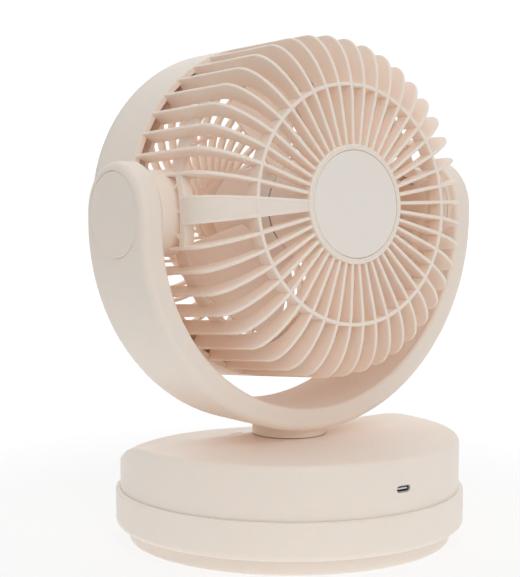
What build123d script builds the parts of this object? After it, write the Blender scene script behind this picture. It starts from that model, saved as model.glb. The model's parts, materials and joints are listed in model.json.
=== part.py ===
from build123d import *
import math
import os

os.makedirs("parts", exist_ok=True)

# ----------------------------------------------------------------------------
# Desk fan, millimetres. +Z up, rear of the fan +Y, air leaves towards -Y.
# Origin on the swivel axis at the table.
# ----------------------------------------------------------------------------

# base
R_FOOT = 88.6          # foot / bottom plate
R_LOW = 96.0           # lower shell (widest part of the base)
R_UP = 93.5            # upper shell
T_WALL = 3.2           # upper shell wall
T_TOP = 2.8            # upper shell top
Z_PLATE = 0.5          # underside of the bottom plate
Z_LOW = 9.0            # underside of the lower shell
Z_STEP = 29.0          # step between the two shells
Z_TOP = 57.0           # flat rear part of the top
Z_FRONT = 44.2         # lower front part of the top
Y_S0, Y_S1 = -6.0, -66.0   # the S-shaped fall between the two
RIM = 3.0              # rim radius
R_SCREW_C = 56.0       # pitch radius of the base screws
Z_USB = 41.7           # height of the charging inlet

# swivel
R_NECK = 20.5
R_POST = 14.0
Z_NECK = 57.3

# yoke
Z_ARC = 175.3          # centre of the bottom arc of the yoke
Z_PIVOT = 180.4        # tilt axis
R_YO, R_YI = 113.5, 101.0
HW = 27.0              # half width of the band
F_OUT, F_IN = 4.0, 2.0
R_CAP = 22.0

# head (local frame: axis Y, centre on the tilt axis)
TILT = 4.7             # rest pose: the front looks down a little
RIB_N = 45             # rib pitch positions
RIB_T = 1.8
Y_REAR = 55.0
Y_SLOT = -18.5         # front end of the side slots
Y_DRUM = -54.0
Y_FACE = -61.4
R_HEAD = 90.8
R_SLOT = 91.7
R_DRUM = 92.3
R_HUB = 31.2
R_PLATE = 28.0
R_BOSS = 22.5          # pivot boss on each side of the head
X_BOSS = 98.5
X_SEAT = 98.9          # seat of the yoke around each tilt pin
BLADES = 3
GRILLE_N = 38
GRILLE_TURN = -0.3

DEG = math.pi / 180.0


def cyl(r, z0, z1, x=0.0, y=0.0):
    return Pos(x, y, z0) * Cylinder(r, z1 - z0, align=(Align.CENTER, Align.CENTER, Align.MIN))


def tube(ro, ri, z0, z1, x=0.0, y=0.0):
    return cyl(ro, z0, z1, x, y) - cyl(ri, z0 - 1, z1 + 1, x, y)


def ycyl(r, y0, y1, x=0.0, z=0.0):
    return Pos(x, y0, z) * Rot(-90, 0, 0) * Cylinder(r, y1 - y0, align=(Align.CENTER, Align.CENTER, Align.MIN))


def ytube(ro, ri, y0, y1, x=0.0, z=0.0):
    return ycyl(ro, y0, y1, x, z) - ycyl(ri, y0 - 1, y1 + 1, x, z)


def xcyl(r, x0, x1, y=0.0, z=0.0):
    lo, hi = min(x0, x1), max(x0, x1)
    return Pos(lo, y, z) * Rot(0, 90, 0) * Cylinder(r, hi - lo, align=(Align.CENTER, Align.CENTER, Align.MIN))


def xtube(ro, ri, x0, x1, y=0.0, z=0.0):
    lo, hi = min(x0, x1), max(x0, x1)
    return xcyl(ro, lo, hi, y, z) - xcyl(ri, lo - 1, hi + 1, y, z)


def box(x0, x1, y0, y1, z0, z1):
    return Pos((x0 + x1) / 2, (y0 + y1) / 2, (z0 + z1) / 2) * Box(x1 - x0, y1 - y0, z1 - z0)


def yrev(points, angle=360):
    """Solid of revolution about Y from (radius, y) corner points."""
    face = make_face(Polyline(*[(p[0], p[1], 0) for p in points], close=True))
    return revolve(face, Axis.Y, angle)


def turn_y(shape, ang):
    """Turn about Y so that +X goes towards +Z."""
    return Rot(0, -ang, 0) * shape


def slot_prism(w, h, y0, y1, z):
    """Round-ended slot, width w in X, height h in Z, running along Y."""
    sk = Plane(origin=(0, y0, z), x_dir=(1, 0, 0), z_dir=(0, 1, 0)) * SlotOverall(w, h)
    return extrude(sk, y1 - y0)


def solid(shape):
    s = shape.solids()
    return s[0] if len(s) == 1 else shape


NODES = {}


def put(name, shape):
    NODES[name] = shape


# ----------------------------------------------------------------------------
# base
# ----------------------------------------------------------------------------
screw_xy = [(R_SCREW_C * math.cos(a * DEG), R_SCREW_C * math.sin(a * DEG)) for a in (45, 135, 225, 315)]

plate = cyl(R_FOOT, Z_PLATE, Z_LOW)
plate = fillet(plate.edges().group_by(Axis.Z)[0], 1.2)
plate -= cyl(R_FOOT - 3.0, 4.0, Z_LOW + 1)
plate -= tube(78.2, 65.8, 0, 2.0)
for x, y in screw_xy:
    plate += cyl(5.0, 3.5, Z_LOW, x, y)
for x, y in screw_xy:
    plate -= cyl(1.7, 0, Z_LOW + 1, x, y)
    plate -= cyl(3.4, 0, 4.2, x, y)
put("base_plate", plate)

pad = tube(78.0, 66.0, 0.0, 2.0)
pad = fillet(pad.edges().group_by(Axis.Z)[0], 0.5)
put("anti_slip_pad", pad)

low = cyl(R_LOW, Z_LOW, Z_STEP)
low = fillet(low.edges().group_by(Axis.Z)[0], 3.0)
low = fillet(low.edges().group_by(Axis.Z)[-1], 1.6)
low -= cyl(R_LOW - 3.4, Z_LOW + 2.4, Z_STEP + 1)
low -= cyl(48.0, Z_LOW - 1, Z_LOW + 4)
post_xy = [(-18.0, 62.0), (18.0, 62.0)]
for x, y in screw_xy:
    low += cyl(4.5, Z_LOW + 1, 18.0, x, y)
for x, y in post_xy:
    low += cyl(3.0, Z_LOW + 1, Z_USB - 1.63 - 1.6, x, y)
for x, y in screw_xy:
    low -= cyl(1.7, Z_LOW - 1, 19.0, x, y)
put("lower_shell", low)

# side profile of the top: flat, two equal arcs, flat
_dy, _dz = Y_S0 - Y_S1, Z_TOP - Z_FRONT
ALPHA = 2 * math.atan2(_dz, _dy)
R_S = _dy / (2 * math.sin(ALPHA))


def top_z(y, drop=0.0):
    if y >= Y_S0:
        return Z_TOP - drop
    if y <= Y_S1:
        return Z_FRONT - drop
    ym = (Y_S0 + Y_S1) / 2
    if y >= ym:
        return Z_TOP - R_S + math.sqrt(R_S ** 2 - (Y_S0 - y) ** 2) - drop
    return Z_FRONT + R_S - math.sqrt(R_S ** 2 - (y - Y_S1) ** 2) - drop


def side_block(drop, zb, yext=120.0):
    """Everything under the S-shaped top, lowered by drop along Z."""
    ym, zm = (Y_S0 + Y_S1) / 2, (Z_TOP + Z_FRONT) / 2 - drop
    zt, zf = Z_TOP - drop, Z_FRONT - drop
    y_a = Y_S0 - R_S * math.sin(ALPHA / 2)
    z_a = zt - R_S + R_S * math.cos(ALPHA / 2)
    y_b = Y_S1 + R_S * math.sin(ALPHA / 2)
    z_b = zf + R_S - R_S * math.cos(ALPHA / 2)
    w = [
        Line((yext, zb), (yext, zt)),
        Line((yext, zt), (Y_S0, zt)),
        ThreePointArc((Y_S0, zt), (y_a, z_a), (ym, zm)),
        ThreePointArc((ym, zm), (y_b, z_b), (Y_S1, zf)),
        Line((Y_S1, zf), (-yext, zf)),
        Line((-yext, zf), (-yext, zb)),
        Line((-yext, zb), (yext, zb)),
    ]
    sk = make_face(Wire(w))
    pl = Plane(origin=(-yext, 0, 0), x_dir=(0, 1, 0), z_dir=(1, 0, 0))
    return extrude(pl * sk, 2 * yext)


up = cyl(R_UP, Z_STEP, Z_TOP + 5) & side_block(0.0, Z_STEP - 10)
rim_edges = [e for e in up.edges()
             if e.center().Z > Z_FRONT - 2 and abs(math.hypot((e @ 0.37).X, (e @ 0.37).Y) - R_UP) < 0.05
             and abs(math.hypot((e @ 0.71).X, (e @ 0.71).Y) - R_UP) < 0.05
             and abs((e % 0.5).Z) < 0.9]
up = fillet(rim_edges, RIM)
up = solid(up)
cav = cyl(R_UP - T_WALL, Z_STEP - 10, Z_TOP + 5) & side_block(T_TOP, Z_STEP - 10)
up = up - cav
up += tube(R_LOW - 3.6, R_UP - T_WALL, 25.0, Z_STEP + 0.5) & cyl(R_LOW - 3.6, 25.0, Z_STEP + 0.5)

# slope frame for the push buttons
SL = Plane(origin=(0, (Y_S0 + Y_S1) / 2, (Z_TOP + Z_FRONT) / 2), x_dir=(1, 0, 0),
           z_dir=(0, -math.sin(ALPHA), math.cos(ALPHA)))


def sl_cyl(r, w0, w1, u=0.0, v=0.0):
    return SL * (Pos(u, v, w0) * Cylinder(r, w1 - w0, align=(Align.CENTER, Align.CENTER, Align.MIN)))


def sl_box(u0, u1, v0, v1, w0, w1):
    return SL * (Pos((u0 + u1) / 2, (v0 + v1) / 2, (w0 + w1) / 2) * Box(u1 - u0, v1 - v0, w1 - w0))


BTN_U = 13.0
LED_U = (-10.5, -3.5, 3.5, 10.5)
LED_V = -14.0
for x, y in screw_xy:
    up += cyl(4.5, 18.0, top_z(y) - 1.2, x, y)
for u in (-25.5, 25.5):
    up += sl_cyl(2.4, -11.5, -1.2, u, 0.0)
for x, y in screw_xy:
    up -= cyl(1.25, 17.0, 36.0, x, y)
up -= cyl(R_NECK + 0.02, 40.0, Z_TOP + 5)
up -= slot_prism(9.5, 3.8, 80.0, 100.0, Z_USB)
for s in (-1, 1):
    up -= sl_cyl(6.9, -8.0, 8.0, s * BTN_U, 0.0)
for u in LED_U:
    up -= sl_cyl(1.25, -8.0, 8.0, u, LED_V)
put("upper_shell", up)

screws = []
for x, y in screw_xy:
    head = cyl(3.0, 2.3, 4.2, x, y) - (Pos(x, y, 2.3) * Box(3.6, 0.8, 1.4))
    screws.append(head + cyl(1.2, 4.0, 34.0, x, y))
put("base_screws", Compound(children=[solid(s) for s in screws]))

# battery
cells_y = (-11.0, 11.0)
R_CELL, L_CELL, Z_CELL = 9.1, 65.0, 15.2
cradle = box(-36.0, 36.0, -22.5, 22.5, 4.0, 14.0)
for y in cells_y:
    cradle -= xcyl(R_CELL + 0.15, -33.2, 33.2, y, Z_CELL)
for s in (-1, 1):
    cradle += box(s * 34.5 - 1.5, s * 34.5 + 1.5, -22.5, 22.5, 4.0, 22.0)
put("battery_cradle", cradle)
for name, y in (("battery_cell_front", cells_y[0]), ("battery_cell_rear", cells_y[1])):
    c = xcyl(R_CELL, -32.5, 31.3, y, Z_CELL)
    c = fillet(c.edges(), 0.8)
    c += xcyl(2.8, 31.0, 32.5, y, Z_CELL)
    put(name, c)

# boards
Z_PCB = Z_USB - 1.63
pcb = box(-24, 24, 56, 85, Z_PCB - 1.6, Z_PCB) + box(-7, 7, 84, 89.6, Z_PCB - 1.6, Z_PCB)
pcb += box(-16, -6, 62, 72, Z_PCB, Z_PCB + 1.6)
pcb += box(4, 10, 64, 70, Z_PCB, Z_PCB + 3.2)
pcb += box(-4, 2, 74, 79, Z_PCB, Z_PCB + 1.0)
put("main_board", pcb)

shell = slot_prism(8.94, 3.26, 85.2, 92.7, Z_USB) - slot_prism(8.34, 2.66, 86.2, 93.0, Z_USB)
put("usb_c_shell", shell)
put("usb_c_tongue", box(-3.35, 3.35, 86.2, 92.2, Z_USB - 0.35, Z_USB + 0.35))

cpcb = sl_box(-29, 29, -9, 9, -13.1, -11.5)
put("control_board", cpcb)
tacts = []
for s in (-1, 1):
    tacts.append(solid(sl_box(s * BTN_U - 3, s * BTN_U + 3, -3, 3, -11.5, -9.0) + sl_cyl(1.7, -9.2, -8.4, s * BTN_U, 0)))
put("tact_switches", Compound(children=tacts))
pipes = sl_box(-13, 13, LED_V - 1.5, LED_V + 1.5, -6.4, -4.6)
for u in LED_U:
    pipes += sl_cyl(1.2, -5.0, 1.25, u, LED_V)
put("indicator_light_pipes", pipes)

for name, s in (("power_button", 1), ("speed_button", -1)):
    b = sl_cyl(6.5, -5.6, 0.9, s * BTN_U, 0)
    b = fillet(b.edges().sort_by_distance((SL * Pos(s * BTN_U, 0, 0.9)).position)[0:1], 0.6)
    b += sl_cyl(8.2, -5.6, -4.4, s * BTN_U, 0)
    b += sl_cyl(2.4, -7.0, -5.0, s * BTN_U, 0)
    put(name, b)

# swivel bush in the top of the base
bush = cyl(R_NECK, 42.0, Z_TOP) + cyl(26.0, 44.0, 47.0)
bush -= cyl(R_POST + 0.06, 40.0, 60.0)
put("swivel_bush", bush)

# ----------------------------------------------------------------------------
# yoke
# ----------------------------------------------------------------------------
Y_PL = Plane(origin=(0, 0, 0), x_dir=(1, 0, 0), z_dir=(0, -1, 0))   # local x = X, local y = Z


def u_profile(r, ztop):
    """Lower half disc about (0, Z_ARC) with straight sides up to ztop."""
    d = Pos(0, Z_ARC) * Circle(r)
    d = d & (Pos(0, Z_ARC - r) * Rectangle(4 * r, 2 * r))
    return d + Pos(0, (Z_ARC + ztop) / 2) * Rectangle(2 * r, ztop - Z_ARC)


def band(ro, ri, hw):
    top = Z_PIVOT + hw + 1
    sk = u_profile(ro, top) - u_profile(ri, top + 1)
    b = extrude(Y_PL * sk, hw, both=True)
    side = Pos(0, Z_PIVOT) * Circle(hw) + Pos(0, Z_PIVOT - 100) * Rectangle(2 * hw, 200)
    xs = Plane(origin=(-200, 0, 0), x_dir=(0, 1, 0), z_dir=(1, 0, 0))
    return b & extrude(xs * side, 400)


yk = solid(band(R_YO, R_YI, HW))


def is_cross(e):
    t = e % 0.5
    return e.geom_type == GeomType.LINE and (abs(t.X) > 0.99 or abs(t.Y) > 0.99)


def edge_r(e):
    p = e @ 0.5
    if p.Z > Z_ARC:
        return abs(p.X)
    return math.hypot(p.X, p.Z - Z_ARC)


outer_e = [e for e in yk.edges() if not is_cross(e) and abs(edge_r(e) - R_YO) < 0.1]
yk = fillet(outer_e, F_OUT)
inner_e = [e for e in yk.edges() if not is_cross(e) and abs(edge_r(e) - R_YI) < 0.1]
yk = fillet(inner_e, F_IN)
yk = solid(yk)

Z_CH = 150.0           # the wire channel stops here, below the pivots
below = box(-150, 150, -60, 60, 0, Z_CH)


def arc_band(ro, ri, hw, ztop):
    a = ycyl(ro, -hw, hw, 0, Z_ARC) - ycyl(ri, -hw - 1, hw + 1, 0, Z_ARC)
    return a & box(-150, 150, -60, 60, 0, ztop)


for s in (-1, 1):
    yk += xcyl(R_BOSS, s * X_SEAT, s * (R_YI + 1.5), 0, Z_PIVOT)
channel = arc_band(R_YO - 2.6, R_YI - 3.0, HW - 2.8, Z_CH)
yk = yk - channel
cover_ang = (-68.0, -46.0, 46.0, 68.0)      # screws, from straight down


def radial(shape_r, r0, r1, ang):
    """Cylinder along the radius of the yoke arc, ang from straight down towards +X."""
    c = Cylinder(shape_r, r1 - r0, align=(Align.CENTER, Align.CENTER, Align.MIN))
    return Pos(0, 0, Z_ARC) * Rot(0, 180 - ang, 0) * Pos(0, 0, r0) * c


for a in cover_ang:
    yk += radial(3.6, R_YI + 2.2, R_YO - 1.5, a)
for a in cover_ang:
    yk -= radial(1.25, R_YI, R_YO - 3.2, a)
yk -= cyl(6.0, 50.0, 75.0)
post_scr = [(7.4, 7.4), (-7.4, 7.4), (-7.4, -7.4), (7.4, -7.4)]
for x, y in post_scr:
    yk -= cyl(1.5, 50.0, 75.0, x, y)
for s in (-1, 1):
    yk -= xcyl(R_CAP + 0.2, s * 111.3, s * 115.0, 0, Z_PIVOT)
    yk -= xcyl(16.0, s * 107.5, s * 112.0, 0, Z_PIVOT)
    yk -= xcyl(12.0, s * 95.0, s * 108.0, 0, Z_PIVOT)
put("yoke_outer", solid(yk))

cov = arc_band(R_YI + 2.2, R_YI, HW - 3.0, Z_CH - 0.2)
for a in cover_ang:
    cov -= radial(1.5, R_YI - 3, R_YI + 4, a)
    cov -= radial(2.8, R_YI - 3, R_YI + 1.4, a)
put("yoke_inner_cover", solid(cov))

sc = []
for a in cover_ang:
    h = radial(2.6, R_YI + 0.2, R_YI + 1.4, a)
    h -= Pos(0, 0, Z_ARC) * Rot(0, 180 - a, 0) * Pos(0, 0, R_YI + 0.2) * Box(3.4, 0.7, 1.0)
    sc.append(solid(h + radial(1.2, R_YI + 1.2, R_YI + 8.6, a)))
put("yoke_cover_screws", Compound(children=sc))

for name, s in (("pivot_cap_left", 1), ("pivot_cap_right", -1)):
    c = xcyl(R_CAP, s * 111.4, s * R_YO, 0, Z_PIVOT)
    out = [e for e in c.edges() if abs(abs((e @ 0.5).X) - R_YO) < 0.05]
    c = fillet(out, 0.4)
    put(name, c)
for name, s in (("pivot_bush_left", 1), ("pivot_bush_right", -1)):
    put(name, xtube(11.98, 9.06, s * (X_SEAT + 0.05), s * 107.5, 0, Z_PIVOT))

post = cyl(R_NECK, Z_NECK, 70.0)
post = fillet(post.edges().group_by(Axis.Z)[0], 0.6)
post -= ycyl(R_YO, -40, 40, 0, Z_ARC)
post += cyl(R_POST, 41.4, Z_NECK + 1)
post -= cyl(6.0, 30.0, 80.0)
for x, y in post_scr:
    post -= cyl(1.25, 50.0, 75.0, x, y)
ring_scr = [(10.2 * math.cos(a * DEG), 10.2 * math.sin(a * DEG)) for a in (90, 210, 330)]
for x, y in ring_scr:
    post -= cyl(1.25, 40.0, 48.5, x, y)
put("swivel_post", solid(post))

rr = tube(19.0, 7.0, 38.9, 41.4)
for x, y in ring_scr:
    rr -= cyl(1.5, 38.0, 42.0, x, y)
put("swivel_retaining_ring", rr)

sw = []
for x, y in ring_scr:
    sw.append(solid(cyl(2.5, 37.5, 38.9, x, y) + cyl(1.2, 38.5, 47.5, x, y)))
put("swivel_ring_screws", Compound(children=sw))
sw = []
for x, y in post_scr:
    z_in = Z_ARC - math.sqrt((R_YO - 2.6) ** 2 - (abs(x) + 2.6) ** 2) + 0.05
    sw.append(solid(cyl(2.5, z_in, z_in + 1.6, x, y) + cyl(1.2, 51.0, z_in + 0.5, x, y)))
put("post_screws", Compound(children=sw))

# ----------------------------------------------------------------------------
# head, in its own frame, then turned by TILT and lifted onto the tilt axis
# ----------------------------------------------------------------------------
HEAD = Pos(0, 0, Z_PIVOT) * Rot(TILT, 0, 0)
EA, EB = 35.4, 22.0                     # shoulder: radial and axial half axes
EC = (R_HEAD - EA, Y_REAR - EB)
IA, IB = 30.0, 25.0                     # inner edge of the ribs
R_RIB_IN = 82.0
Y_RIB_IN = 47.4
IC = (R_RIB_IN - IA, Y_RIB_IN - IB)


def fin_face(r_hub):
    w = [
        Line((R_SLOT, Y_SLOT - 1.5), (R_HEAD, EC[1])),
        EllipticalCenterArc(EC, EA, EB, start_angle=0, arc_size=90),
        Line((EC[0], Y_REAR), (r_hub, Y_REAR)),
        Line((r_hub, Y_REAR), (r_hub, Y_RIB_IN)),
        Line((r_hub, Y_RIB_IN), (IC[0], Y_RIB_IN)),
        EllipticalCenterArc(IC, IA, IB, start_angle=0, arc_size=90),
        Line((R_RIB_IN, IC[1]), (R_RIB_IN, Y_SLOT - 1.5)),
        Line((R_RIB_IN, Y_SLOT - 1.5), (R_SLOT, Y_SLOT - 1.5)),
    ]
    return make_face(Wire(Wire.combine(w)[0].edges()))


fin2d = fin_face(30.0)
rib = solid(extrude(fin2d, RIB_T / 2, both=True))
rib_e = [e for e in rib.edges()
         if abs(abs((e @ 0.5).Z) - RIB_T / 2) < 0.01 and (e @ 0.5).X > 31 and (e @ 0.5).Y > Y_SLOT - 1.4]
rib = solid(fillet(rib_e, 0.6))
pitch = 360.0 / RIB_N
rib_angles = [180.0 + pitch * i for i in range(RIB_N)]
near = [a for a in rib_angles if min(a % 360, 360 - a % 360) < pitch]     # the two ribs along the duct
rib_angles = [a for a in rib_angles if a not in near]


def sector(i0, i1):
    """Plate between two neighbouring ribs, i0 to i1 under their outer line."""
    w = [
        Line((R_SLOT - i0, Y_SLOT - 1.5), (R_HEAD - i0, EC[1])),
        EllipticalCenterArc(EC, EA - i0, EB - i0, start_angle=0, arc_size=90),
        Line((EC[0], Y_REAR - i0), (30.0, Y_REAR - i0)),
        Line((30.0, Y_REAR - i0), (30.0, Y_REAR - i1)),
        Line((30.0, Y_REAR - i1), (EC[0], Y_REAR - i1)),
        EllipticalCenterArc(EC, EA - i1, EB - i1, start_angle=0, arc_size=90),
        Line((R_HEAD - i1, EC[1]), (R_SLOT - i1, Y_SLOT - 1.5)),
        Line((R_SLOT - i1, Y_SLOT - 1.5), (R_SLOT - i0, Y_SLOT - 1.5)),
    ]
    f = make_face(Wire(Wire.combine(w)[0].edges()))
    plate = solid(revolve(f, Axis.Y, pitch))
    c = plate.center()
    return turn_y(plate, -math.degrees(math.atan2(c.Z, c.X)))


# wire duct: the two ribs and the plate between them, from the pivot wall to the hub
Y_WALL = 27.0
behind = box(-120, 120, Y_WALL, 80, -60, 60)
duct = [solid(turn_y(rib, a) & behind) for a in near] + [solid(sector(0.2, 3.2) & behind)]

drum = yrev([(R_SLOT, Y_SLOT), (R_DRUM, Y_DRUM), (R_DRUM - 3.4, Y_DRUM), (R_SLOT - 3.2, Y_SLOT)])
hub = ycyl(R_HUB, 48.0, 56.0)
hub = fillet(hub.edges().filter_by(lambda e: abs(e.center().Y - 56.0) < 0.01), 0.6)
mid_ring = ytube(63.5, 61.7, 46.2, 54.4)
side_ring = ytube(83.4, 81.0, 5.5, 15.2)
tools = [turn_y(rib, a) for a in rib_angles] + duct + [hub, mid_ring, side_ring]

# pivots: boss, curved wall behind it between the ribs, and short webs from the boss to the wall
for s, half in ((1, 12.0), (-1, 16.0)):
    boss = xcyl(R_BOSS, s * 80.5, s * X_BOSS)
    rim = [e for e in boss.edges() if abs(abs((e @ 0.5).X) - X_BOSS) < 0.05]
    tools.append(fillet(rim, 0.8))
    hz = 86.0 * math.sin(half * DEG)
    wall = xtube(37.8, 33.6, s * 70.0, s * 95.0, -8.0, 0.0) & ytube(90.3, 84.6, 10.0, 40.0)
    wall = wall & box(min(s * 70, s * 95), max(s * 70, s * 95), 12.0, 40.0, -hz, hz)
    tools.append(solid(wall))
    for a in (-30.0, 0.0, 30.0):
        web = box(min(s * 83.0, s * 89.5), max(s * 83.0, s * 89.5), 20.0, 27.5, -0.7, 0.7)
        tools.append(Rot(a, 0, 0) * web)

housing = drum.fuse(*tools)
for s in (-1, 1):
    housing -= xcyl(R_BOSS - 3.5, s * 70.0, s * 95.0)
    housing -= xcyl(9.02, s * 90.0, s * 105.0)
    for a in (90, 210, 330):
        housing -= xcyl(1.2, s * 94.0, s * 97.8, 14.6 * math.cos(a * DEG), 14.6 * math.sin(a * DEG))
housing -= ycyl(R_PLATE + 0.35, 54.9, 57.0)
mscr = [(22.0 * math.cos(a * DEG), 22.0 * math.sin(a * DEG)) for a in (45, 135, 225, 315)]
for x, z in mscr:
    housing -= ycyl(1.5, 45.0, 57.0, x, z)
    housing -= ycyl(2.8, 53.0, 57.0, x, z)
put("rear_housing", HEAD * solid(housing))

put("hub_plate", HEAD * fillet(ycyl(R_PLATE, 54.9, 55.9).edges().filter_by(
    lambda e: abs(e.center().Y - 55.9) < 0.01), 0.2))

# front ring: rounded front corner, spigot inside the drum, air duct reaching back to the slots
FA, FB = 11.0, 7.4
R_DUCT, Y_DUCT = 82.0, -23.0
w = [
    Line((R_DRUM - FA - 2.8, Y_FACE), (R_DRUM - FA, Y_FACE)),
    EllipticalCenterArc((R_DRUM - FA, Y_DRUM), FA, FB, start_angle=-90, arc_size=90),
    Line((R_DRUM, Y_DRUM), (R_DRUM - 3.5, Y_DRUM)),
    Line((R_DRUM - 3.5, Y_DRUM), (R_DRUM - 3.5, Y_DRUM + 8)),
    Line((R_DRUM - 3.5, Y_DRUM + 8), (R_DRUM - 6.0, Y_DRUM + 8)),
    Line((R_DRUM - 6.0, Y_DRUM + 8), (R_DRUM - 6.0, Y_DRUM - 2.5)),
    Line((R_DRUM - 6.0, Y_DRUM - 2.5), (R_DUCT, Y_DRUM - 2.5)),
    Line((R_DUCT, Y_DRUM - 2.5), (R_DUCT, Y_DUCT)),
    Line((R_DUCT, Y_DUCT), (R_DUCT - 1.9, Y_DUCT)),
    Line((R_DUCT - 1.9, Y_DUCT), (R_DUCT - 1.9, Y_DRUM - 2.5)),
    Line((R_DUCT - 1.9, Y_DRUM - 2.5), (R_DRUM - FA - 2.8, Y_DRUM - 2.5)),
    Line((R_DRUM - FA - 2.8, Y_DRUM - 2.5), (R_DRUM - FA - 2.8, Y_FACE)),
]
fr = revolve(make_face(Wire(Wire.combine(w)[0].edges())), Axis.Y)
put("front_ring", HEAD * solid(fr))

R_GR = R_DRUM - FA - 2.8 - 0.1
gy0, gy1 = Y_FACE + 0.6, Y_FACE + 6.2
gr = ytube(R_GR, R_GR - 2.4, gy0, gy1)


def swirl(r):
    """Angle between a bar and the radius: 24 degrees at the hub, 25 at radius 43, 44 from radius 66 on."""
    if r < 43.0:
        return 24.0 + max(0.0, r - 20.0) / 23.0
    return 25.0 + 19.0 * min(1.0, (r - 43.0) / 23.0)


def bar_line(shift):
    """Centre line of one curved bar, moved sideways by shift."""
    pts, th, r = [], 0.0, 18.0
    while True:
        psi = swirl(r) * DEG
        x, z = r * math.cos(th), r * math.sin(th)
        d = th + psi
        pts.append((x - shift * math.sin(d), z + shift * math.cos(d)))
        if r >= R_GR - 1.0:
            return pts
        step = min(0.5, R_GR - 1.0 - r + 1e-9)
        th += math.tan(psi) / r * step
        r += step


def bar_edge(shift):
    p = bar_line(shift)
    return p[::12] if (len(p) - 1) % 12 == 0 else p[::12] + [p[-1]]


e0, e1 = bar_edge(-0.8), bar_edge(0.8)
bar_face = make_face(Wire([Spline(*e0), Line(e0[-1], e1[-1]), Spline(*e1), Line(e1[0], e0[0])]))
bar = extrude(Plane(origin=(0, gy1, 0), x_dir=(1, 0, 0), z_dir=(0, -1, 0)) * bar_face, gy1 - gy0)
gt = [turn_y(solid(bar), 360.0 / GRILLE_N * i + GRILLE_TURN) for i in range(GRILLE_N)]
gt += [ytube(47.0, 45.2, gy0 + 1.2, gy1), ycyl(22.0, gy0 - 0.4, gy1 + 1.5)]
gr = gr.fuse(*gt)
gr -= ycyl(20.2, gy0 - 1.0, gy0 + 1.6)
put("front_grille", HEAD * solid(gr))
cc = ycyl(20.0, gy0 - 0.6, gy0 + 1.6)
cc = fillet(cc.edges().filter_by(lambda e: e.center().Y < gy0), 0.5)
put("front_centre_cap", HEAD * cc)

# motor, fixed half
mh = ycyl(26.0, 15.3, 48.0) + ycyl(29.3, 45.5, 48.0)
mh -= ycyl(23.8, 18.0, 49.0)
for x, z in mscr:
    mh += ycyl(3.3, 17.5, 48.0, x, z)
for x, z in mscr:
    mh -= ycyl(1.25, 36.0, 49.0, x, z)
mh -= ycyl(8.55, 10.0, 20.0)
put("motor_housing", HEAD * solid(mh))
bt = ytube(8.5, 6.05, -24.0, 18.0) + ytube(12.0, 6.05, 18.0, 20.0) + ytube(6.5, 4.0, -8.0, 6.0)
put("bearing_tube", HEAD * solid(bt))
br = [ytube(6.0, 2.56, -23.5, -18.5), ytube(6.0, 2.56, 11.0, 16.0)]
put("motor_bearings", Compound(children=[solid(HEAD * b) for b in br]))
st = ytube(18.6, 8.55, -16.0, 6.0)
for i in range(9):
    st -= turn_y(box(12.0, 17.2, -17, 7, -2.6, 2.6), 40.0 * i)
    st -= turn_y(box(16.0, 20.0, -17, 7, -0.8, 0.8), 40.0 * i)
put("motor_stator", HEAD * solid(st))
wd = []
for i in range(9):
    wd.append(solid(HEAD * turn_y(box(12.3, 16.9, -17.5, 7.5, -2.3, 2.3), 40.0 * i)))
put("stator_windings", Compound(children=wd))
dp = ytube(18.0, 12.5, 24.0, 25.6) + box(-18, -12, 25.6, 27.2, -3, 3)
put("driver_board", HEAD * solid(dp))
ms = []
for x, z in mscr:
    ms.append(solid(HEAD * (ycyl(2.6, 53.0, 54.6, x, z) + ycyl(1.2, 38.0, 53.5, x, z))))
put("motor_screws", Compound(children=ms))

# motor, turning half with the impeller
im = ycyl(25.5, -40.0, 13.0)
im = fillet(im.edges().filter_by(lambda e: abs(e.center().Y + 40.0) < 0.01), 5.0)
im -= ycyl(23.1, -37.0, 15.0)
im -= ycyl(24.6, 4.0, 15.0)
im += ycyl(6.0, -38.0, -28.0)
R_TIP = 72.0
Y_BL = 1.0


def blade_section(x, chord, beta, thick, dy, sweep):
    """Rounded strip in the plane at radius x; beta is the pitch from the plane of rotation."""
    pl = Plane(origin=(x, Y_BL + dy, sweep), x_dir=(0, -math.sin(beta * DEG), math.cos(beta * DEG)), z_dir=(1, 0, 0))
    return pl * RectangleRounded(chord, thick, thick * 0.45)


blade = loft([blade_section(23.6, 34.0, 40.0, 2.4, 0, 0), blade_section(48.0, 57.0, 23.0, 2.1, 0, 0),
              blade_section(76.0, 84.0, 15.5, 1.8, 0, 0)])
blade = solid(blade) & ycyl(R_TIP, -60, 60)
blade -= ycyl(24.8, -60, 60)
im = im.fuse(*[turn_y(blade, -43.5 + 360.0 / BLADES * i) for i in range(BLADES)])
im -= ycyl(2.5, -39.0, -20.0)
put("impeller", HEAD * solid(im))
rc = ytube(23.0, 22.0, -36.9, 10.0) + ytube(22.5, 6.2, -36.9, -35.8)
put("rotor_cup", HEAD * solid(rc))
put("magnet_ring", HEAD * ytube(21.9, 19.4, -18.0, 8.0))
put("rotor_shaft", HEAD * (ycyl(2.5, -39.0, 17.0)))

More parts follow.
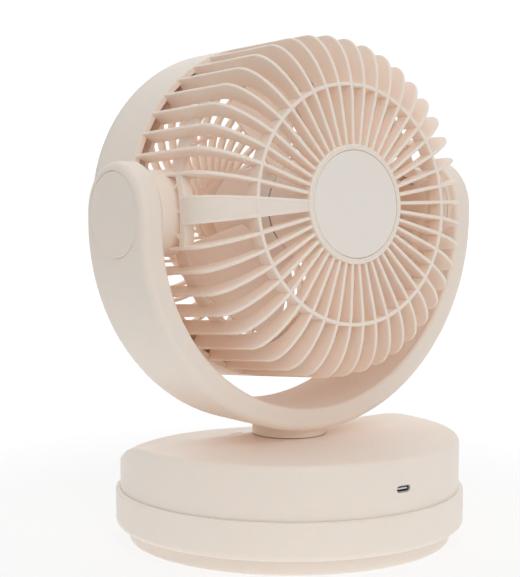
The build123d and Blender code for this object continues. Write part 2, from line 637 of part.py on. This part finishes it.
# tilt pins, fixed to the head; the one on the duct side is hollow for the wires
pins = []
for name, s in (("tilt_pin_left", 1), ("tilt_pin_right", -1)):
    p = xcyl(9.0, s * 92.4, s * 108.3) + xcyl(18.0, s * 92.4, s * 95.0)
    if s > 0:
        p -= xcyl(4.0, s * 90.0, s * 110.0)
    for a in (90, 210, 330):
        p -= xcyl(1.4, s * 92.0, s * 96.0, 14.6 * math.cos(a * DEG), 14.6 * math.sin(a * DEG))
        p -= xcyl(0.95, s * 104.0, s * 109.0, 6.5 * math.cos(a * DEG), 6.5 * math.sin(a * DEG))
    put(name, HEAD * solid(p))
ps, fw, rt, rs = [], [], [], []
for s in (-1, 1):
    for a in (90, 210, 330):
        y, z = 14.6 * math.cos(a * DEG), 14.6 * math.sin(a * DEG)
        ps.append(solid(HEAD * (xcyl(2.3, s * 91.1, s * 92.4, y, z) + xcyl(1.15, s * 92.0, s * 97.5, y, z))))
        y, z = 6.5 * math.cos(a * DEG), 6.5 * math.sin(a * DEG)
        rs.append(solid(HEAD * (xcyl(1.8, s * 109.8, s * 110.8, y, z) + xcyl(0.9, s * 104.5, s * 110.0, y, z))))
    fw.append(solid(HEAD * xtube(14.0, 9.4, s * 107.8, s * 108.3)))
    r = xcyl(14.5, s * 108.3, s * 109.8) - xcyl(4.0, s * 100, s * 112)
    for a in (90, 210, 330):
        r -= xcyl(1.1, s * 100, s * 112, 6.5 * math.cos(a * DEG), 6.5 * math.sin(a * DEG))
    rt.append(solid(HEAD * r))
put("tilt_pin_screws", Compound(children=ps))
put("tilt_friction_washers", Compound(children=fw))
put("tilt_retainers", Compound(children=rt))
put("tilt_retainer_screws", Compound(children=rs))

for name, shape in NODES.items():
    export_step(shape, "parts/" + name + ".step")
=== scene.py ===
import bpy
import json
import math
from mathutils import Vector, Matrix

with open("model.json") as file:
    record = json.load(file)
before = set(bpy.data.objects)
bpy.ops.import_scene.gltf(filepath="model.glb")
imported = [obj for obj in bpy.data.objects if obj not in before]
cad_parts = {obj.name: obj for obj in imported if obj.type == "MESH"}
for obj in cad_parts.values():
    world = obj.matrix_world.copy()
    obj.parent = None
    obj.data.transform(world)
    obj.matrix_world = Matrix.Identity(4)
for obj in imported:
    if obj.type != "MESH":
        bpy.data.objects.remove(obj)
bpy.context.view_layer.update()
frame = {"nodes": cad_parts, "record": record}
NODES = frame["nodes"]
SC = bpy.context.scene

# ---------------------------------------------------------------- camera
AZ = math.radians(141.50)
CAM_D, CAM_H = 0.8309, 0.21026
PAN, PITCH = math.radians(-1.12), math.radians(5.03)
back = Vector((math.sin(AZ), -math.cos(AZ), 0.0))
right = Vector((math.cos(AZ), math.sin(AZ), 0.0))
d2 = -back * math.cos(PAN) + right * math.sin(PAN)
forward = d2 * math.cos(PITCH) + Vector((0, 0, -1)) * math.sin(PITCH)
cam_data = bpy.data.cameras.new("camera")
cam_data.lens = 94.52
cam_data.sensor_width = 36.0
cam_data.clip_start, cam_data.clip_end = 0.01, 50.0
cam = bpy.data.objects.new("camera", cam_data)
SC.collection.objects.link(cam)
cam.location = back * CAM_D + Vector((0, 0, CAM_H))
cam.rotation_mode = "QUATERNION"
cam.rotation_quaternion = forward.to_track_quat("-Z", "Y")
SC.camera = cam

# ---------------------------------------------------------------- materials


def new_mat(name):
    m = bpy.data.materials.new(name)
    m.use_nodes = True
    t = m.node_tree
    t.nodes.clear()
    out = t.nodes.new("ShaderNodeOutputMaterial")
    bsdf = t.nodes.new("ShaderNodeBsdfPrincipled")
    t.links.new(bsdf.outputs["BSDF"], out.inputs["Surface"])
    return m, t, bsdf


def moulded(name, base, shade, rough=0.46, rough_var=0.06, grain=2600.0, depth=0.00002, spec=0.4,
            coat=0.0, metallic=0.0, sss=0.0):
    """Moulded plastic: faint clouding of the colour, spark-eroded grain in bump and roughness."""
    m, t, b = new_mat(name)
    co = t.nodes.new("ShaderNodeTexCoord")
    cloud = t.nodes.new("ShaderNodeTexNoise")
    cloud.inputs["Scale"].default_value = 38.0
    cloud.inputs["Detail"].default_value = 3.0
    t.links.new(co.outputs["Object"], cloud.inputs["Vector"])
    ramp = t.nodes.new("ShaderNodeValToRGB")
    ramp.color_ramp.elements[0].position = 0.30
    ramp.color_ramp.elements[0].color = (*shade, 1)
    ramp.color_ramp.elements[1].position = 0.70
    ramp.color_ramp.elements[1].color = (*base, 1)
    t.links.new(cloud.outputs["Fac"], ramp.inputs["Fac"])
    t.links.new(ramp.outputs["Color"], b.inputs["Base Color"])
    fine = t.nodes.new("ShaderNodeTexNoise")
    fine.inputs["Scale"].default_value = grain
    fine.inputs["Detail"].default_value = 2.0
    t.links.new(co.outputs["Object"], fine.inputs["Vector"])
    rr = t.nodes.new("ShaderNodeMapRange")
    rr.inputs["To Min"].default_value = rough - rough_var
    rr.inputs["To Max"].default_value = rough + rough_var
    t.links.new(fine.outputs["Fac"], rr.inputs["Value"])
    t.links.new(rr.outputs["Result"], b.inputs["Roughness"])
    bump = t.nodes.new("ShaderNodeBump")
    bump.inputs["Strength"].default_value = 0.35
    bump.inputs["Distance"].default_value = depth
    t.links.new(fine.outputs["Fac"], bump.inputs["Height"])
    t.links.new(bump.outputs["Normal"], b.inputs["Normal"])
    b.inputs["Specular IOR Level"].default_value = spec
    b.inputs["Metallic"].default_value = metallic
    if sss:
        b.inputs["Subsurface Weight"].default_value = sss
        b.inputs["Subsurface Radius"].default_value = (1.0, 0.72, 0.55)
        b.inputs["Subsurface Scale"].default_value = 0.0016
    if coat:
        b.inputs["Coat Weight"].default_value = coat
        b.inputs["Coat Roughness"].default_value = 0.2
    return m


def metal(name, base, shade, rough, axis_scale=(1.0, 1.0, 1.0), scale=900.0):
    """Turned or drawn metal: noise in colour, roughness and bump, stretched along one axis only when
    axis_scale is not uniform.
    """
    m, t, b = new_mat(name)
    co = t.nodes.new("ShaderNodeTexCoord")
    mp = t.nodes.new("ShaderNodeMapping")
    mp.inputs["Scale"].default_value = axis_scale
    t.links.new(co.outputs["Object"], mp.inputs["Vector"])
    n = t.nodes.new("ShaderNodeTexNoise")
    n.inputs["Scale"].default_value = scale
    n.inputs["Detail"].default_value = 4.0
    t.links.new(mp.outputs["Vector"], n.inputs["Vector"])
    ramp = t.nodes.new("ShaderNodeValToRGB")
    ramp.color_ramp.elements[0].color = (*shade, 1)
    ramp.color_ramp.elements[1].color = (*base, 1)
    t.links.new(n.outputs["Fac"], ramp.inputs["Fac"])
    t.links.new(ramp.outputs["Color"], b.inputs["Base Color"])
    rr = t.nodes.new("ShaderNodeMapRange")
    rr.inputs["To Min"].default_value = rough - 0.08
    rr.inputs["To Max"].default_value = rough + 0.10
    t.links.new(n.outputs["Fac"], rr.inputs["Value"])
    t.links.new(rr.outputs["Result"], b.inputs["Roughness"])
    bump = t.nodes.new("ShaderNodeBump")
    bump.inputs["Strength"].default_value = 0.2
    bump.inputs["Distance"].default_value = 0.00002
    t.links.new(n.outputs["Fac"], bump.inputs["Height"])
    t.links.new(bump.outputs["Normal"], b.inputs["Normal"])
    b.inputs["Metallic"].default_value = 1.0
    return m


BLUSH = (0.955, 0.843, 0.758)
BLUSH_D = (0.946, 0.830, 0.744)
MATS = {
    "shell_plastic": moulded("shell_plastic", BLUSH, BLUSH_D, sss=0.6),
    "hub_plate_plastic": moulded("hub_plate_plastic", (0.93, 0.87, 0.81), (0.92, 0.86, 0.80), rough=0.55),
    "steel": metal("steel", (0.62, 0.62, 0.63), (0.48, 0.48, 0.49), 0.30),
    "pad_rubber": moulded("pad_rubber", (0.42, 0.36, 0.32), (0.36, 0.31, 0.275), rough=0.8, grain=1500.0, depth=0.00006, spec=0.25),
    "battery_can": moulded("battery_can", (0.10, 0.20, 0.38), (0.09, 0.18, 0.35), rough=0.28, spec=0.5),
    "circuit_board": moulded("circuit_board", (0.02, 0.15, 0.07), (0.018, 0.12, 0.06), rough=0.32, spec=0.5),
    "black_plastic": moulded("black_plastic", (0.030, 0.029, 0.030), (0.024, 0.023, 0.024), rough=0.5),
    "copper_wire": metal("copper_wire", (0.80, 0.36, 0.17), (0.62, 0.26, 0.12), 0.33),
    "ferrite": moulded("ferrite", (0.06, 0.06, 0.065), (0.045, 0.045, 0.05), rough=0.62),
    "turned_brass": metal("turned_brass", (0.78, 0.58, 0.28), (0.66, 0.48, 0.22), 0.28),
    "bearing_plastic": moulded("bearing_plastic", (0.80, 0.77, 0.72), (0.77, 0.74, 0.69), rough=0.38),
    "light_pipe": moulded("light_pipe", (0.86, 0.84, 0.80), (0.83, 0.81, 0.77), rough=0.24, spec=0.5),
}
slot_of = {s["node"]: s["material_slot"] for s in frame["record"]["subparts"]}
for name, ob in NODES.items():
    ob.data.materials.clear()
    ob.data.materials.append(MATS[slot_of[name]])

# ---------------------------------------------------------------- stage
# white sweep with painted light: its emission glows brightest in the strip behind the object, so that it
# reads as a clean white ground and lights the object; the glow is dimmer toward the camera, at the sides and
# near the object
GLOW_BACK, GLOW_FRONT, GLOW_SIDE, GLOW_NEAR = 0.90, 0.38, 0.59, 0.82
m_floor, t, b = new_mat("stage_floor")
n = t.nodes.new("ShaderNodeTexNoise")
n.inputs["Scale"].default_value = 3.0
ramp = t.nodes.new("ShaderNodeValToRGB")
ramp.color_ramp.elements[0].color = (0.24, 0.24, 0.24, 1)
ramp.color_ramp.elements[1].color = (0.26, 0.26, 0.26, 1)
t.links.new(n.outputs["Fac"], ramp.inputs["Fac"])
t.links.new(ramp.outputs["Color"], b.inputs["Base Color"])
b.inputs["Roughness"].default_value = 0.9
b.inputs["Specular IOR Level"].default_value = 0.1
b.inputs["Emission Color"].default_value = (1, 1, 1, 1)
co = t.nodes.new("ShaderNodeTexCoord")
dot = t.nodes.new("ShaderNodeVectorMath")
dot.operation = "DOT_PRODUCT"
dot.inputs[1].default_value = tuple(-back)
t.links.new(co.outputs["Object"], dot.inputs[0])
gl = t.nodes.new("ShaderNodeMapRange")
gl.interpolation_type = "SMOOTHSTEP"
gl.inputs["From Min"].default_value = -0.50
gl.inputs["From Max"].default_value = -0.10
gl.inputs["To Min"].default_value = GLOW_FRONT
gl.inputs["To Max"].default_value = GLOW_BACK
t.links.new(dot.outputs["Value"], gl.inputs["Value"])
side = t.nodes.new("ShaderNodeVectorMath")
side.operation = "DOT_PRODUCT"
side.inputs[1].default_value = tuple(right)
t.links.new(co.outputs["Object"], side.inputs[0])
side_abs = t.nodes.new("ShaderNodeMath")
side_abs.operation = "ABSOLUTE"
t.links.new(side.outputs["Value"], side_abs.inputs[0])
reach = t.nodes.new("ShaderNodeMath")
reach.operation = "ADD"
reach.inputs[1].default_value = 0.85
t.links.new(dot.outputs["Value"], reach.inputs[0])
reach_min = t.nodes.new("ShaderNodeMath")
reach_min.operation = "MAXIMUM"
reach_min.inputs[1].default_value = 0.60
t.links.new(reach.outputs["Value"], reach_min.inputs[0])
width = t.nodes.new("ShaderNodeMath")
width.operation = "DIVIDE"
t.links.new(side_abs.outputs["Value"], width.inputs[0])
t.links.new(reach_min.outputs["Value"], width.inputs[1])
strip = t.nodes.new("ShaderNodeMapRange")
strip.interpolation_type = "SMOOTHSTEP"
strip.inputs["From Min"].default_value = 0.19
strip.inputs["From Max"].default_value = 0.60
strip.inputs["To Min"].default_value = 1.0
strip.inputs["To Max"].default_value = GLOW_SIDE
t.links.new(width.outputs["Value"], strip.inputs["Value"])
lit = t.nodes.new("ShaderNodeMath")
lit.operation = "MULTIPLY"
t.links.new(gl.outputs["Result"], lit.inputs[0])
t.links.new(strip.outputs["Result"], lit.inputs[1])
# painted shade: the floor's glow is turned down within 0.6 m of the object, so the floor around the base is
# darker
near = t.nodes.new("ShaderNodeVectorMath")
near.operation = "LENGTH"
t.links.new(co.outputs["Object"], near.inputs[0])
low = t.nodes.new("ShaderNodeMapRange")
low.inputs["From Min"].default_value = 0.20
low.inputs["From Max"].default_value = 0.60
low.inputs["To Min"].default_value = GLOW_NEAR
low.inputs["To Max"].default_value = 1.0
t.links.new(near.outputs["Value"], low.inputs["Value"])
lit2 = t.nodes.new("ShaderNodeMath")
lit2.operation = "MULTIPLY"
t.links.new(lit.outputs["Value"], lit2.inputs[0])
t.links.new(low.outputs["Result"], lit2.inputs[1])
t.links.new(lit2.outputs["Value"], b.inputs["Emission Strength"])

# floor that sweeps up into a wall far behind the object on every side
prof = [(0.0, 0.0), (1.9, 0.0)]
for i in range(1, 13):
    a = math.radians(90 * i / 12)
    prof.append((1.9 + 1.0 * math.sin(a), 1.0 - 1.0 * math.cos(a)))
prof.append((2.9, 4.0))
SEG = 96
verts, faces = [(0, 0, 0)], []
for r, z in prof[1:]:
    for k in range(SEG):
        a = 2 * math.pi * k / SEG
        verts.append((r * math.cos(a), r * math.sin(a), z))
for k in range(SEG):
    faces.append((0, 1 + k, 1 + (k + 1) % SEG))
for j in range(len(prof) - 2):
    o0, o1 = 1 + j * SEG, 1 + (j + 1) * SEG
    for k in range(SEG):
        k2 = (k + 1) % SEG
        faces.append((o0 + k, o1 + k, o1 + k2, o0 + k2))
me = bpy.data.meshes.new("stage_floor")
me.from_pydata(verts, [], faces)
for p in me.polygons:
    p.use_smooth = True
me.materials.append(m_floor)
floor = bpy.data.objects.new("stage_floor", me)
SC.collection.objects.link(floor)
floor.location.z = -0.0002

world = bpy.data.worlds.new("studio")
world.use_nodes = True
wt = world.node_tree
bg = wt.nodes["Background"]
bg.inputs["Color"].default_value = (1.0, 0.995, 0.99, 1)
bg.inputs["Strength"].default_value = 0.84
SC.world = world


def area(name, loc, target, size, power, col=(1, 1, 1)):
    ld = bpy.data.lights.new(name, "AREA")
    ld.shape = "DISK"
    ld.size = size
    ld.energy = power
    ld.color = col
    lo = bpy.data.objects.new(name, ld)
    SC.collection.objects.link(lo)
    lo.location = loc
    lo.rotation_mode = "QUATERNION"
    lo.rotation_quaternion = (Vector(target) - Vector(loc)).to_track_quat("-Z", "Y")
    return lo


area("key", (0.48, 1.05, 0.90), (0, 0, 0.22), 1.0, 4.9)
SC.view_settings.view_transform = "Standard"
SC.cycles.diffuse_bounces = 12
SC.cycles.max_bounces = 16
